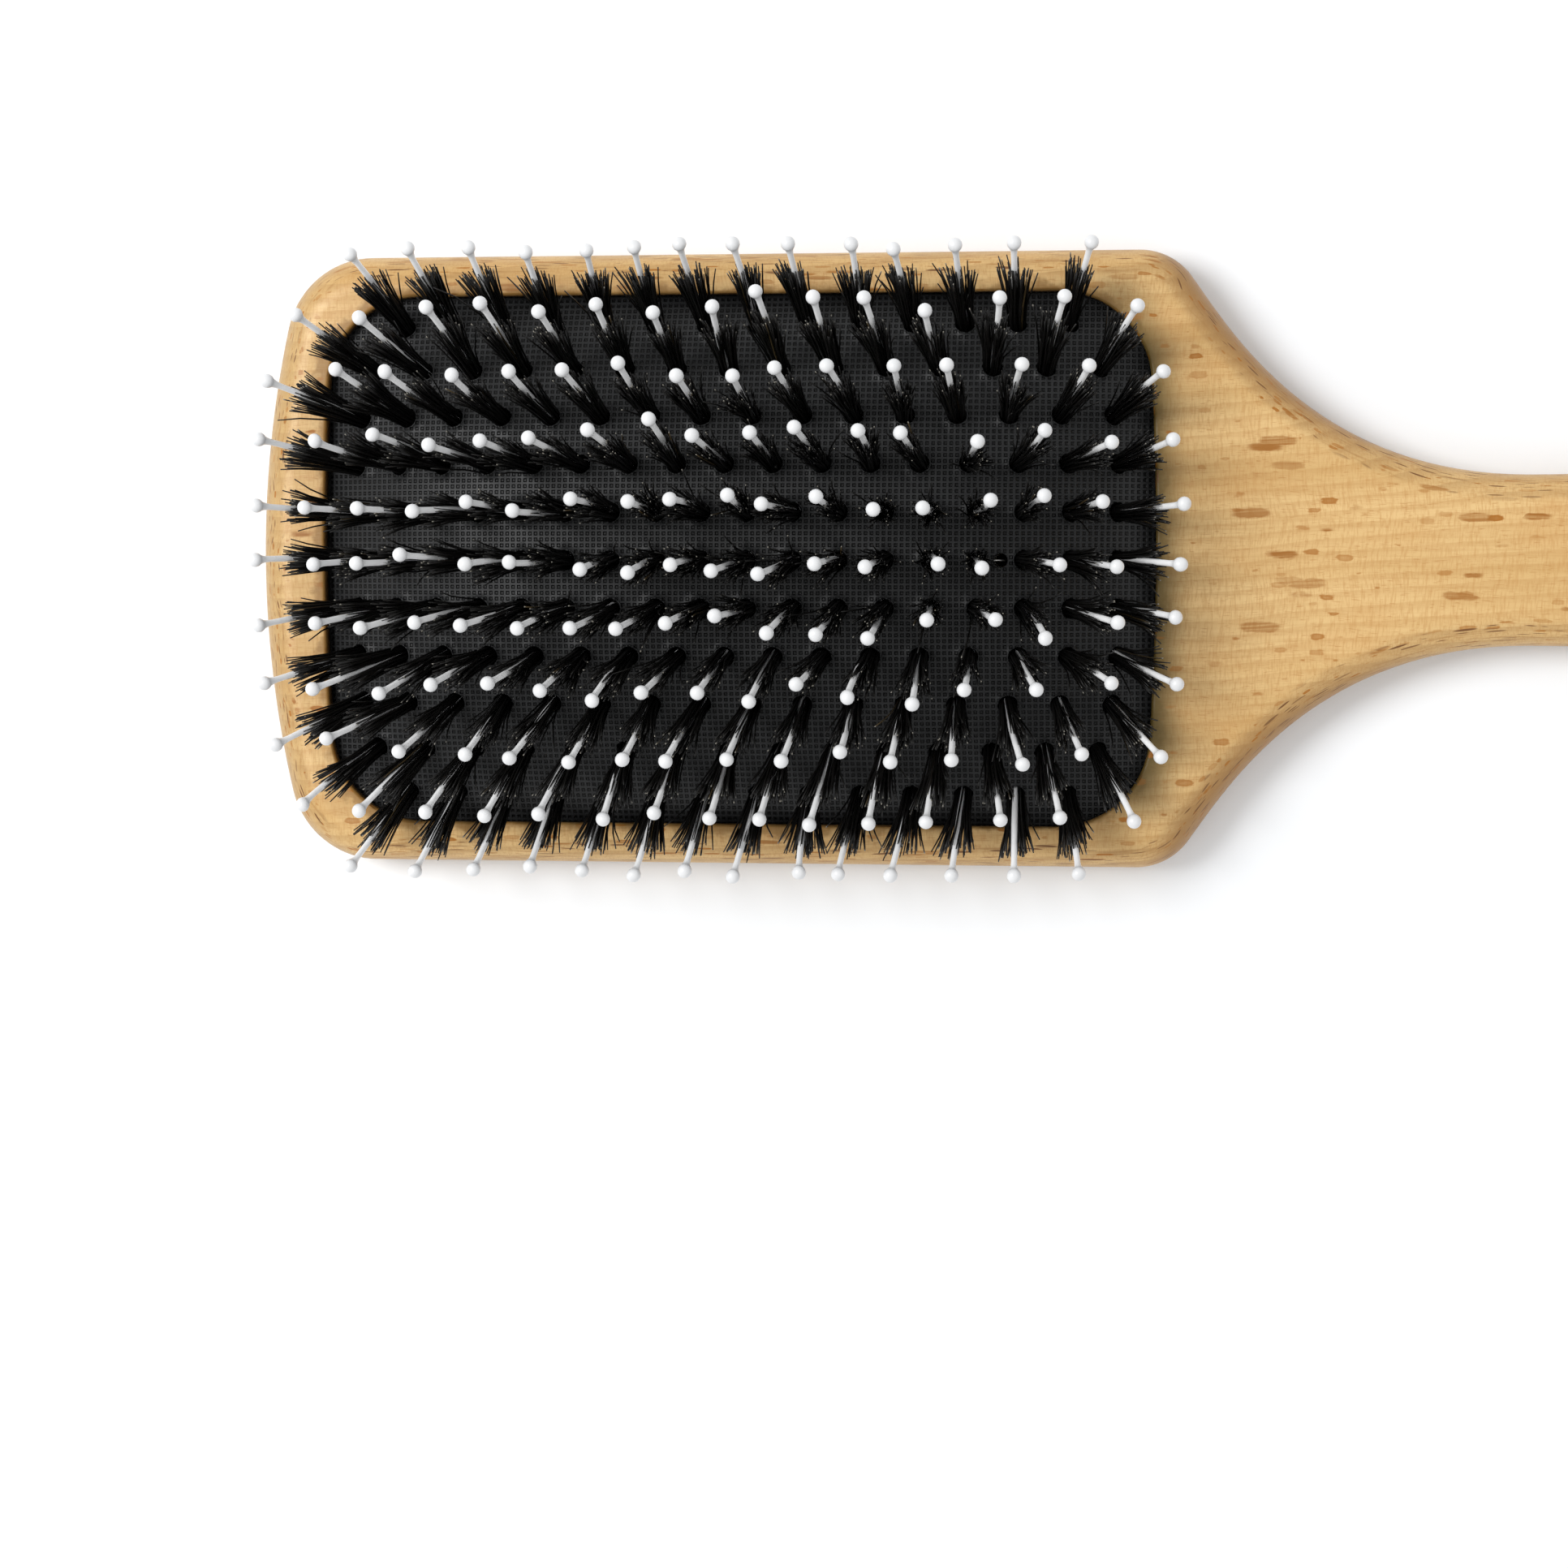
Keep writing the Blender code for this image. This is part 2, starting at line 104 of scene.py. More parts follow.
# Rubber pad
PAD_EDGE_HEIGHT = 0.0082
DOME_RISE = 0.0125
DOME_HALF_LENGTH = 0.0555
DOME_HALF_WIDTH = 0.0353
DOME_POWER_X = 3.5
DOME_POWER_Y = 2.2
CORNER_DROP = 0.0014
CORNER_POWER = 4
PAD_THICKNESS = 0.0010
BEAD_OUTSIDE = 0.0011
PAD_GRID = 0.0010
PAD_GRID_BOUND = 0.3         # share of the bead's width that the grid reaches into
PAD_GRID_CLEAR = 0.0009      # from a hole's edge to the grid
HOLE_RADIUS = 0.00125
HOLE_POINTS = 18
LIP = (                      # out from the hole's edge, and up
    (0.0, 0.00010), (0.00006, 0.00022), (0.00015, 0.00026), (0.00026, 0.00020), (0.00040, 0.0))
VENT_PLACE = 0.0360
VENT_RADIUS = 0.00095
VENT_LIP = ((0.0, -0.00005), (0.00012, 0.0))

# Rows of tufts and pins, numbered from the -Y side
ROW_PLACES = (0.0, 0.0063, 0.0126, 0.0189, 0.0251, 0.0310)
ROW_HALF_SPANS = (0.0510, 0.0510, 0.0510, 0.0503, 0.0485, 0.0445)
OUTER_ROW = len(ROW_PLACES) - 1
ROWS = range(-OUTER_ROW, OUTER_ROW + 1)
MIDDLE_ROW_COUNT = 18
LEAN_ACROSS = 0.672          # slope of the outer rows, away from the middle row
LEAN_ACROSS_POWER = 1.2
LEAN_ALONG = 0.64            # slope of a row's ends, away from its middle
LEAN_ALONG_POWER = 2.5
LEAN_ALONG_REACH = 0.0510

# Tufts. The spreads are those of the chance numbers
BRISTLES = 60
BRISTLES_SPREAD = 6
BRISTLE_LENGTH = 0.0118
BRISTLE_LENGTH_SPREAD = 0.035
BRISTLE_RADII = (0.000140, 0.000135, 0.000122, 0.000092)
BRISTLE_KNOTS = (-0.08, 0.40, 0.75, 1.0)  # shares of the length, from below the rubber's face
BRISTLE_CURVE = 0.65         # share of the flare that comes late, near the tip
KNOT_SPREAD = 0.00007
TUFT_ROOT_RADIUS = 0.00116
TUFT_CORE = 0.02             # least share of the root's area at which a bristle stands
TUFT_TIP_RADIUS = 0.00235
FLARE_SPREAD = 0.16
TIP_SPREAD = 0.00042
STRAY_SHARE = 0.06
STRAY_REACH = (1.3, 1.9)
STRAY_LENGTH = (0.72, 0.98)
FAN_SHARE = 0.9              # how flat a leaning tuft's tips fan out, across its lean
FAN_LIMIT = 0.5              # the steepest lean that the fan follows
NO_BRISTLE = (0.31, 0.95, 0.05)  # a direction that no bristle takes

# Pins
PIN_LENGTH = 0.0170
PIN_BALL_RADIUS = 0.00094
PIN_SHIFT = 0.00022          # towards +Y, from the hole's centre
PIN_SIDES = 16
PIN_BOW_SPREAD = 0.0009      # four times the bow at a pin's middle
PIN_FOOT = (                 # radius and height
    (0.0, -0.00200), (0.00072, -0.00200), (0.00082, -0.00185), (0.00072, -0.00165),
    (0.00045, -0.00155), (0.00043, 0.0), (0.00041, 0.0070))
PIN_NECK = (                 # radius, and distance below the ball's centre
    (0.00040, 0.0024), (0.00043, 0.0018), (0.00049, 0.0013), (0.00061, 0.00082))
PIN_BALL_DEGREES = range(-32, 80, 12)

# How tufts and pins stand off the lean of their place
MIDDLE_TILT = (-0.100, -0.050)   # extra tilt of the middle rows, along X and Y
MIDDLE_TILT_CHANGE = 0.030       # change of its X part from a row's middle to its end
OUTER_TILT = (-0.070, -0.030)    # the same for the outer rows
OUTER_TILT_CHANGE = -0.200
PLACE_TILT_SPREAD = 0.040        # chance tilt that a tuft shares with its pin
TUFT_TILT_SPREAD = 0.022
PIN_TILT_SPREAD = 0.020

# Folds and wires behind the rubber
FOLD_PROFILE = (
    (0.0, -0.0022), (0.0004, -0.0022), (0.0009, -0.0019), (0.00105, -0.0010), (0.0, -0.0009))
FOLD_SIDES = 8
WIRE_RADIUS = 0.00016
WIRE_LOW = 0.00238           # from the rubber's face to the wire under a fold
WIRE_HIGH = 0.00122          # and between the tufts
WIRE_STEPS = 8

PAD_X = HEAD_END - LENGTH / 2
MM = 1000.0                  # flat faces are filled in millimetres
FILL_TOLERANCE = 1e-5
TINY = 1e-6
rng = np.random.default_rng(178)


# Camera, light and floor. Plan positions are from the pad's centre

CAMERA_HEIGHT = 0.450
CAMERA_PLACE = (0.062, 0.0)
FRAME_CENTRE = (0.0067, -0.0299)
FRAME_WIDTH = 0.210
SENSOR_WIDTH = 36.0
KEY_PLACE = (-0.48, 0.16, 0.71)
KEY_AIM_HEIGHT = 0.01
KEY_SIZE = 0.42
KEY_POWER = 4.9
SKY_STRENGTH = 0.80
FLOOR_SIZE = 2.0
FLOOR_DROP = 0.0001


def look_from(ob, place, aim, up):
    """Puts a camera or light at a place, aimed at a point, with its top towards up."""
    back = (Vector(place) - Vector(aim)).normalized()
    right = Vector(up).cross(back).normalized()
    turn = Matrix((right, back.cross(right), back)).transposed().to_4x4()
    ob.matrix_world = Matrix.Translation(place) @ turn


def make_camera():
    data = bpy.data.cameras.new("camera")
    camera = bpy.data.objects.new("camera", data)
    bpy.context.scene.collection.objects.link(camera)
    aim = Vector((PAD_X + FRAME_CENTRE[0], FRAME_CENTRE[1], WOOD_THICKNESS))
    place = Vector((PAD_X + CAMERA_PLACE[0], CAMERA_PLACE[1], WOOD_THICKNESS + CAMERA_HEIGHT))
    look_from(camera, place, aim, (0.0, 1.0, 0.0))
    data.sensor_width = SENSOR_WIDTH
    data.lens = SENSOR_WIDTH * (place - aim).length / FRAME_WIDTH
    data.clip_start = 0.01
    data.clip_end = 10.0
    bpy.context.scene.camera = camera


def make_light():
    data = bpy.data.lights.new("key", "AREA")
    data.shape = "DISK"
    data.size = KEY_SIZE
    data.energy = KEY_POWER
    light = bpy.data.objects.new("key", data)
    bpy.context.scene.collection.objects.link(light)
    place = (PAD_X + KEY_PLACE[0], KEY_PLACE[1], KEY_PLACE[2])
    look_from(light, place, (PAD_X, 0.0, KEY_AIM_HEIGHT), (0.0, 1.0, 0.1))


def make_studio():
    make_light()
    world = bpy.data.worlds.new("studio")
    bpy.context.scene.world = world
    world.use_nodes = True
    background = world.node_tree.nodes["Background"]
    background.inputs["Color"].default_value = (1.0, 1.0, 1.0, 1.0)
    background.inputs["Strength"].default_value = SKY_STRENGTH
    bpy.context.scene.view_settings.view_transform = "Standard"
    bm = bmesh.new()
    bmesh.ops.create_grid(bm, x_segments=1, y_segments=1, size=FLOOR_SIZE)
    mesh = bpy.data.meshes.new("floor")
    bm.to_mesh(mesh)
    bm.free()
    floor = bpy.data.objects.new("floor", mesh)
    floor.location = (0.0, 0.0, -FLOOR_DROP)
    bpy.context.scene.collection.objects.link(floor)
    look = Look("floor_paint", (0.90, 0.922, 0.945), 0.85)
    floor.data.materials.append(look.mat)


# Materials

RING_PITCH = 0.0019          # of the beech's rings
WAFFLE_PITCH = 0.00078       # of the rubber's embossed grid
WEAVE_PITCH = 0.0006         # of the canvas
WHOLE_PERIODS = 200.0        # added to a repeating pattern, so that its input stays above zero
FOLDS = 23.7                 # how many times a cell's chance numbers are folded
TOP_FADE = (0.0030, 0.0014)  # below the top face, where its own marks are gone and in full
# Painted shade round the recess: a dark ragged band on the top face where the tufts' shadows fall
RECESS_SHADE_START = 0.0006         # into the recess, from its wall
RECESS_SHADE_RAGGED = 0.0042        # how far out its edge wanders
RECESS_SHADE_SOFT = 0.0014
# Painted shadow of the tufts on the wood between the recess and the neck, on the side away from the
# key light
TUFT_SHADOW_REACH = 0.0052          # out from the recess's wall, on the neck's side
TUFT_SHADOW_SOFT = 0.0060
TUFT_SHADOW_PLACES = (0.045, 0.057)

BEECH = {
    "pale": (0.728, 0.494, 0.218),
    "deep": (0.620, 0.394, 0.153),
    "line": (0.50, 0.285, 0.095),
    "hatch": (0.50, 0.255, 0.075),
    "ring": (0.48, 0.25, 0.075),
    "patch": (0.56, 0.29, 0.09),
    "tick": (0.42, 0.18, 0.040),
    "side": (0.39, 0.245, 0.100),
    # end grain, with painted shade on the faces turned away from the key light
    "end_grain_and_shade": (0.34, 0.178, 0.054),
    "head_end": (0.42, 0.275, 0.115),
    "layer": (0.34, 0.165, 0.045),
    # painted shade round the recess
    "recess_shade": (0.26, 0.125, 0.024),
    # painted shadow of the tufts, on the neck's side of the recess
    "painted_light": (0.135, 0.092, 0.022),
    "plate": (0.36, 0.128, 0.008),
    "fleck": (0.33, 0.125, 0.014),
    "dash": (0.17, 0.070, 0.018),
}


class Look:
    """A material's node tree, with short calls for the nodes it is built from."""

    def __init__(self, name, colour, roughness, **fixed):
        self.mat = bpy.data.materials.new(name)
        self.mat.use_nodes = True
        self.tree = self.mat.node_tree
        self.shader = self.tree.nodes["Principled BSDF"]
        self.shader.inputs["Base Color"].default_value = (*colour, 1.0)
        self.shader.inputs["Roughness"].default_value = roughness
        for socket, value in fixed.items():
            self.shader.inputs[socket.replace("_", " ")].default_value = value
        self.mat.diffuse_color = (*colour, 1.0)

    def put(self, value, socket):
        """Links an output to a socket, or sets the socket to a plain value."""
        if isinstance(value, bpy.types.NodeSocket):
            self.tree.links.new(value, socket)
        elif isinstance(value, tuple) and len(value) == 3 and socket.type == "RGBA":
            socket.default_value = (*value, 1.0)
        else:
            socket.default_value = value

    def place(self, scale=(1.0, 1.0, 1.0), shift=None):
        """The object's own coordinates, scaled, and shifted by a vector output."""
        where = self.tree.nodes.new("ShaderNodeTexCoord").outputs["Object"]
        if shift is not None:
            where = self.vector("ADD", where, shift)
        return self.vector("MULTIPLY", where, scale)

    def vector(self, operation, a, b=None):
        node = self.tree.nodes.new("ShaderNodeVectorMath")
        node.operation = operation
        self.put(a, node.inputs[0])
        if b is not None:
            self.put(b, node.inputs["Scale"] if operation == "SCALE" else node.inputs[1])
        return node.outputs["Vector"]

    def math(self, operation, *values):
        node = self.tree.nodes.new("ShaderNodeMath")
        node.operation = operation
        for value, socket in zip(values, node.inputs):
            self.put(value, socket)
        return node.outputs["Value"]

    def times(self, a, b):
        return self.math("MULTIPLY", a, b)

    def less(self, a, b):
        return self.math("SUBTRACT", a, b)

    def line(self, value, slope, start):
        return self.math("MULTIPLY_ADD", value, slope, start)

    def split(self, vector):
        node = self.tree.nodes.new("ShaderNodeSeparateXYZ")
        self.put(vector, node.inputs[0])
        return node.outputs

    def noise(self, where, detail=2.0, roughness=0.5, colour=False):
        node = self.tree.nodes.new("ShaderNodeTexNoise")
        self.put(where, node.inputs["Vector"])
        node.inputs["Scale"].default_value = 1.0
        node.inputs["Detail"].default_value = detail
        node.inputs["Roughness"].default_value = roughness
        return node.outputs["Color" if colour else "Fac"]

    def cells(self, where, power):
        """The distance to the nearest cell's centre, and three chance numbers of that cell.

        Power 2 gives round cells, and a higher power gives boxier ones. The node's own colour is
        its centre's place in the cell, so it is folded many times over before it is used.
        """
        node = self.tree.nodes.new("ShaderNodeTexVoronoi")
        node.distance = "MINKOWSKI"
        self.put(where, node.inputs["Vector"])
        node.inputs["Scale"].default_value = 1.0
        node.inputs["Exponent"].default_value = power
        folded = self.vector("FRACTION", self.vector("SCALE", node.outputs["Color"], FOLDS))
        return node.outputs["Distance"], self.split(folded)

    def spread(self, value, low, high, to_low=0.0, to_high=1.0):
        """A value from low to high, eased into another range."""
        node = self.tree.nodes.new("ShaderNodeMapRange")
        node.interpolation_type = "SMOOTHSTEP"
        sockets = (value, low, high, to_low, to_high)
        for item, socket in zip(sockets, node.inputs):
            self.put(item, socket)
        return node.outputs["Result"]

    def mix(self, share, a, b):
        node = self.tree.nodes.new("ShaderNodeMix")
        node.data_type = "RGBA"
        for item, socket in zip((share, a, b), (node.inputs[0], node.inputs[6], node.inputs[7])):
            self.put(item, socket)
        return node.outputs[2]

    def bump(self, height, strength, depth, onto=None):
        node = self.tree.nodes.new("ShaderNodeBump")
        node.inputs["Strength"].default_value = strength
        node.inputs["Distance"].default_value = depth
        self.put(height, node.inputs["Height"])
        if onto is not None:
            self.put(onto, node.inputs["Normal"])
        return node.outputs["Normal"]

    def normal(self):
        return self.tree.nodes.new("ShaderNodeTexCoord").outputs["Normal"]

    def attribute(self, name):
        node = self.tree.nodes.new("ShaderNodeAttribute")
        node.attribute_name = name
        return node.outputs["Vector"]

    def finish(self, **outputs):
        for socket, value in outputs.items():
            self.put(value, self.shader.inputs[socket.replace("_", " ")])
        return self.mat


def beech_look():
    """Quarter-sawn beech: its rays are thin plates that lie nearly level, with rings across them.

    Every scale is in cells or waves for each metre.
    """
    look = Look("beech", (0.62, 0.41, 0.18), 0.42, Specular_IOR_Level=0.36)
    colour = None

    def drift(scale, reach):
        """A vector that wanders about zero."""
        wander = look.noise(look.place(scale), 2.0, 0.5, True)
        return look.vector("SCALE", look.vector("SUBTRACT", wander, (0.5, 0.5, 0.5)), reach)

    def tint(share, name):
        nonlocal colour
        colour = look.mix(share, colour, BEECH[name])

    def marks(scale, warp, power, shape, most, least, blur):
        """Marks of chance sizes, one in each cell. A high shape leaves most of them small.

        Returns how far a point is inside its mark, with the mark's reach, the distance from its
        centre and its chance numbers.
        """
        distance, tones = look.cells(look.place(scale, warp), power)
        reach = look.line(look.math("POWER", tones[0], shape), most, least)
        return look.spread(look.less(reach, distance), 0.0, blur), reach, distance, tones

    slow = drift((22, 60, 60), 0.0035)
    at = look.split(look.place(shift=slow))
    facing = look.split(look.normal())
    steep = look.spread(look.math("ABSOLUTE", facing[2]), 0.93, 0.995, 1.0, 0.0)

    bands = look.noise(look.place((9, 150, 260), slow), 3.0, 0.55)
    lines = look.noise(look.place((45, 2600, 2600), slow), 3.0, 0.6)
    ticks = look.noise(look.place((700, 7200, 7200), slow), 1.0, 0.5)
    hatch = look.noise(look.place((4200, 520, 2600), slow), 2.0, 0.6)
    patches = look.noise(look.place((70, 120, 120)), 3.0, 0.6)
    layers = look.noise(look.place((90, 160, 3600), slow), 3.0, 0.6)
    ring = look.line(at[2], 0.25, look.line(at[0], -0.085, at[1]))
    ring = look.math("FRACT", look.line(ring, 1 / RING_PITCH, WHOLE_PERIODS))
    ring = look.times(look.spread(ring, 0.25, 0.90), look.spread(ring, 0.93, 1.0, 1.0, 0.0))

    # The grain
    colour = look.mix(look.spread(bands, 0.34, 0.68), BEECH["pale"], BEECH["deep"])
    tint(look.spread(lines, 0.42, 0.78, 0.0, 0.42), "line")
    tint(look.spread(hatch, 0.42, 0.70, 0.0, 0.50), "hatch")
    tint(look.times(ring, 0.30), "ring")
    tint(look.spread(patches, 0.46, 0.80, 0.0, 0.40), "patch")
    tint(look.spread(ticks, 0.60, 0.74, 0.0, 0.48), "tick")

    # The sides, which cut across it. The faces towards +X, away from the key light, get end grain
    # with painted shade, much darker than the end towards -X
    tint(look.times(steep, look.line(ring, 0.20, 0.16)), "side")
    tint(look.spread(facing[0], 0.03, 0.60, 0.0, 0.92), "end_grain_and_shade")
    tint(look.spread(facing[0], -0.80, -0.03, 0.72, 0.0), "head_end")
    tint(look.times(look.spread(layers, 0.50, 0.72, 0.0, 0.55), steep), "layer")

    # Painted shade round the recess, where the tufts' shadows and the recess's shade fall, and a
    # painted shadow of the tufts on the wood between the recess and the neck. Both end above the
    # paddle's sides. The distance out is from the centre of the recess's rounded corner
    out_x = look.less(look.math("ABSOLUTE", look.less(at[0], PAD_X)), RECESS_END - RECESS_CORNER)
    out_y = look.less(look.math("ABSOLUTE", at[1]), RECESS_HALF_WIDTH - RECESS_CORNER)
    out_x = look.math("MAXIMUM", out_x, 0.0)
    out_y = look.math("MAXIMUM", out_y, 0.0)
    out = look.math("SQRT", look.line(out_x, out_x, look.times(out_y, out_y)))
    upper = look.spread(at[2], *(WOOD_THICKNESS - depth for depth in TOP_FADE))
    # painted shade round the recess, with a ragged edge
    ragged_edge = look.noise(look.place((420, 420, 420)), 3.0, 0.6)
    ragged_edge = look.line(ragged_edge, RECESS_SHADE_RAGGED, RECESS_CORNER - RECESS_SHADE_START)
    recess_shade = look.spread(look.less(ragged_edge, out), 0.0, RECESS_SHADE_SOFT, 0.0, 0.72)
    tint(look.times(recess_shade, upper), "recess_shade")
    # painted shadow of the tufts on the neck's side of the recess
    neck_side = look.times(look.spread(look.less(at[0], PAD_X), *TUFT_SHADOW_PLACES), upper)
    near = look.less(RECESS_CORNER + TUFT_SHADOW_REACH, out)
    tint(look.spread(near, 0.0, TUFT_SHADOW_SOFT, 0.0, neck_side), "painted_light")

    # The rays: small plates, pale in their middle, then larger flecks and the dashes on the sides
    ragged = look.vector("MULTIPLY", drift((900, 2200, 2200), 1.0), (0.0011, 0.0004, 0.00005))
    plate, reach, distance, tones = marks((290, 720, 3600), ragged, 3.0, 1.8, 0.40, 0.005, 0.10)
    plate = look.times(plate, look.spread(tones[1], 0.0, 1.0, 0.40, 1.0))
    hollow = look.spread(look.math("DIVIDE", distance, reach), 0.0, 0.75, 0.70, 1.0)
    plate = look.times(plate, hollow)
    tint(plate, "plate")
    fleck, _, _, tones = marks((135, 520, 2900), ragged, 2.6, 2.1, 0.42, 0.002, 0.12)
    fleck = look.times(fleck, look.spread(tones[2], 0.0, 0.9, 0.55, 1.0))
    fleck = look.times(fleck, look.spread(lines, 0.35, 0.60, 0.55, 1.0))
    tint(fleck, "fleck")
    dash, _, _, tones = marks((230, 420, 5200), slow, 2.0, 1.0, 0.34, 0.14, 0.12)
    dash = look.times(look.times(dash, look.spread(tones[1], 0.30, 0.82)), steep)
    tint(dash, "dash")

    grain = look.line(look.math("MAXIMUM", plate, dash), -0.5, lines)
    return look.finish(Base_Color=colour, Roughness=look.line(lines, 0.14, 0.33),
                       Normal=look.bump(grain, 0.22, 0.00012))


def rubber_look():
    look = Look("cushion_rubber", (0.008, 0.008, 0.0085), 0.46, Specular_IOR_Level=0.30)
    where = look.split(look.place((1 / WAFFLE_PITCH, 1 / WAFFLE_PITCH, 1.0)))
    edges = []
    for i in (0, 1):
        shifted = look.math("ADD", where[i], WHOLE_PERIODS)
        edges.append(look.times(look.math("PINGPONG", shifted, 0.5), 2.0))
    ridge = look.spread(look.math("MINIMUM", edges[0], edges[1]), 0.30, 0.70, 1.0, 0.0)
    fine = look.noise(look.place((6000, 6000, 6000)), 2.0, 0.6)
    cloud = look.noise(look.place((90, 90, 90)), 2.0, 0.5)
    # painted shade: the waffle's pits are painted almost black and its ridges lighter, as the shade
    # in the pits
    colour = look.mix(ridge, (0.0008, 0.0008, 0.0009), (0.0210, 0.0216, 0.0226))
    colour = look.mix(look.spread(cloud, 0.3, 0.7, 0.0, 0.4), colour, (0.0045, 0.0046, 0.0050))
    rough = look.line(fine, 0.16, 0.38)
    normal = look.bump(ridge, 1.0, 0.00025)
    normal = look.bump(fine, 0.10, 0.00003, normal)
    return look.finish(Base_Color=colour, Roughness=rough, Normal=normal)


def bristle_look():
    """Black bristle. A few are paler, and some have pale tips painted as glints.

    strand holds how far along its bristle a point is, and the bristle's tone.
    """
    look = Look("bristle", (0.005, 0.0045, 0.0045), 0.40, Specular_IOR_Level=0.30)
    strand = look.split(look.attribute("strand"))
    pale = look.spread(strand[1], 0.985, 1.0)
    body = look.mix(pale, (0.0080, 0.0074, 0.0068), (0.075, 0.052, 0.022))
    # painted highlight: pale glints painted on the tips of some bristles
    painted_light = look.times(look.spread(strand[0], 0.965, 1.0), look.spread(strand[1], 0.80, 0.90))
    colour = look.mix(painted_light, body, (0.24, 0.225, 0.19))
    scales = look.noise(look.place((5000, 5000, 1800)), 2.0, 0.6)
    rough = look.line(scales, 0.20, 0.30)
    return look.finish(Base_Color=colour, Roughness=rough, Normal=look.bump(scales, 0.2, 0.00002))


def nylon_look():
    """Milky nylon. Ball and shaft are one nylon in lit and shaded copies: the shaft is painted
    brighter against the shade of the tufts round it, and the ball darker so that its shaded rim
    shows on the white floor.
    """
    look = Look("pin_nylon", (0.82, 0.82, 0.81), 0.30)
    haze = look.noise(look.place((700, 700, 700)), 2.0, 0.5)
    milky = look.spread(haze, 0.35, 0.70)
    # painted light on the shaft and painted shade on the ball, though both are the same nylon
    shaft = look.mix(milky, (0.930, 0.935, 0.940), (0.880, 0.886, 0.892))
    ball = look.mix(milky, (0.730, 0.736, 0.745), (0.690, 0.697, 0.706))
    along = look.split(look.attribute("along"))[0]
    colour = look.mix(look.spread(along, 0.90, 0.925), shaft, ball)
    rough = look.line(haze, 0.14, 0.24)
    return look.finish(Base_Color=colour, Roughness=rough, Normal=look.bump(haze, 0.1, 0.00003))


def canvas_look():
    look = Look("backing_canvas", (0.30, 0.28, 0.24), 0.92, Sheen_Weight=0.2)
    where = look.split(look.place((1 / WEAVE_PITCH, 1 / WEAVE_PITCH, 1.0)))
    threads = [look.math("SINE", look.times(where[i], math.pi)) for i in (0, 1)]
    weave = look.math("ABSOLUTE", look.times(threads[0], threads[1]))
    fuzz = look.noise(look.place((2500, 2500, 2500)), 3.0, 0.6)
    colour = look.mix(weave, (0.17, 0.155, 0.13), (0.34, 0.315, 0.265))
    colour = look.mix(look.spread(fuzz, 0.4, 0.7, 0.0, 0.4), colour, (0.40, 0.375, 0.32))
    rough = look.line(fuzz, 0.1, 0.85)
    return look.finish(Base_Color=colour, Roughness=rough, Normal=look.bump(weave, 0.6, 0.00015))


def wire_look():
    look = Look("drawing_wire", (0.55, 0.54, 0.52), 0.32, Metallic=1.0)
    drawn = look.noise(look.place((300, 6000, 6000)), 2.0, 0.5)
    colour = look.mix(drawn, (0.48, 0.47, 0.45), (0.62, 0.61, 0.59))
    rough = look.line(drawn, 0.2, 0.25)
    return look.finish(Base_Color=colour, Roughness=rough)


# Shapes shared with the CAD


def arc(centre, radius, start, end, steps):
    angles = (start + (end - start) * i / steps for i in range(steps + 1))
    return [(centre[0] + radius * math.cos(a), centre[1] + radius * math.sin(a)) for a in angles]


def bowed_end(reach, bow, half_width, corner, corner_steps, bow_steps):
    """From the middle of an end at +X up to the straight side: a bowed arc and a rounded corner."""
    bow_centre = reach - bow
    corner_y = half_width - corner
    corner_x = bow_centre + math.sqrt((bow - corner) ** 2 - corner_y ** 2)
    meet = math.atan2(corner_y, corner_x - bow_centre)
    points = arc((bow_centre, 0.0), bow, 0.0, meet, bow_steps)
    return points[:-1] + arc((corner_x, corner_y), corner, meet, math.pi / 2, corner_steps)


def straight(start, end, steps):
    """Points between two points, without the ends."""
    return [
        (start[0] + (end[0] - start[0]) * i / steps, start[1] + (end[1] - start[1]) * i / steps)
        for i in range(1, steps)
    ]


def both_sides(points):
    """A closed outline from the points of its +Y half."""
    return points + [(x, -y) for x, y in reversed(points) if y > TINY]


def recess_outline(grow=0.0):
    quarter = bowed_end(RECESS_END + grow, RECESS_END_BOW + grow, RECESS_HALF_WIDTH + grow,
                        RECESS_CORNER + grow, RECESS_CORNER_STEPS, RECESS_END_STEPS)
    mirrored = [(-x, y) for x, y in reversed(quarter)]
    side = straight(quarter[-1], mirrored[0], RECESS_SIDE_STEPS)
    return both_sides(quarter + side + mirrored)


def bezier(start, start_handle, end_handle, end, steps):
    points = []
    for i in range(1, steps + 1):
        t = i / steps
        weights = ((1 - t) ** 3, 3 * (1 - t) ** 2 * t, 3 * (1 - t) * t ** 2, t ** 3)
        corners = (start, start_handle, end_handle, end)
        points.append(tuple(sum(w * c[k] for w, c in zip(weights, corners)) for k in (0, 1)))
    return points


